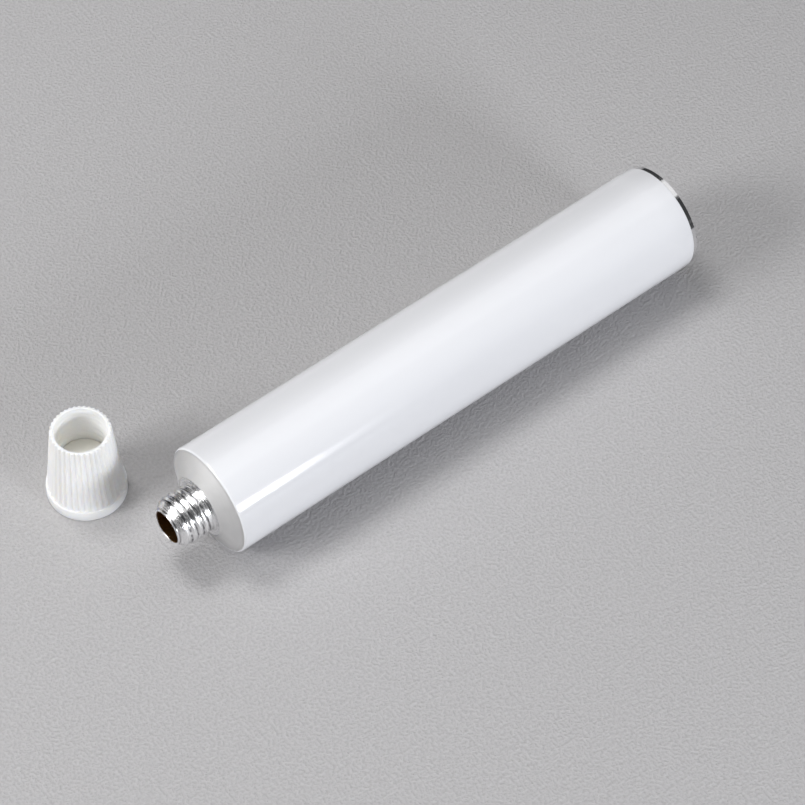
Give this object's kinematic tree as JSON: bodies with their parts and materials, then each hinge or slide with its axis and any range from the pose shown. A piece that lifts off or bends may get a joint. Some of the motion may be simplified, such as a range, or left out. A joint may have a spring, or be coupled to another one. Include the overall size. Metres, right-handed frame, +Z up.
{
  "type": "paint tube",
  "caption": "Round collapsible metal paint tube with a conical shoulder, threaded neck and open tail, lying beside its tapered fluted screw cap, which stands mouth up.",
  "frame": {"origin": "middle of the footprint of the lying tube and its standing cap, on the surface they rest on", "axes": "+X along the tube from its neck to its open tail, +Y from the tube towards the cap's side, +Z up"},
  "size_m": [0.147, 0.0472, 0.025],
  "materials": {
    "bare_aluminium": "bright turned and drawn aluminium",
    "white_enamel": "glossy white baked enamel",
    "gold_lacquer": "thin gold-brown lacquer",
    "latex_seal": "dull dried latex",
    "white_polyethylene": "satin moulded polyethylene",
    "foam_liner": "dull foamed polyethylene"
  },
  "bodies": {
    "tube": {"aluminium_tube": "bare_aluminium", "enamel_coat": "white_enamel", "inner_lacquer": "gold_lacquer", "end_seal_band": "latex_seal"},
    "cap_liner": {"cap_sealing_disc": "foam_liner"},
    "cap": {"cap": "white_polyethylene"}
  },
  "joints": [
    {"name": "cap_lift", "type": "slide", "parent": "tube", "child": "cap_liner", "axis": [0, 0, 1], "range_m": [0, 0.03]},
    {"name": "cap_turn", "type": "hinge", "parent": "cap_liner", "child": "cap", "pos_m": [-0.06484, 0.01498, 0], "axis": [0, 0, 1], "range_deg": [0, 1260]}
  ]
}
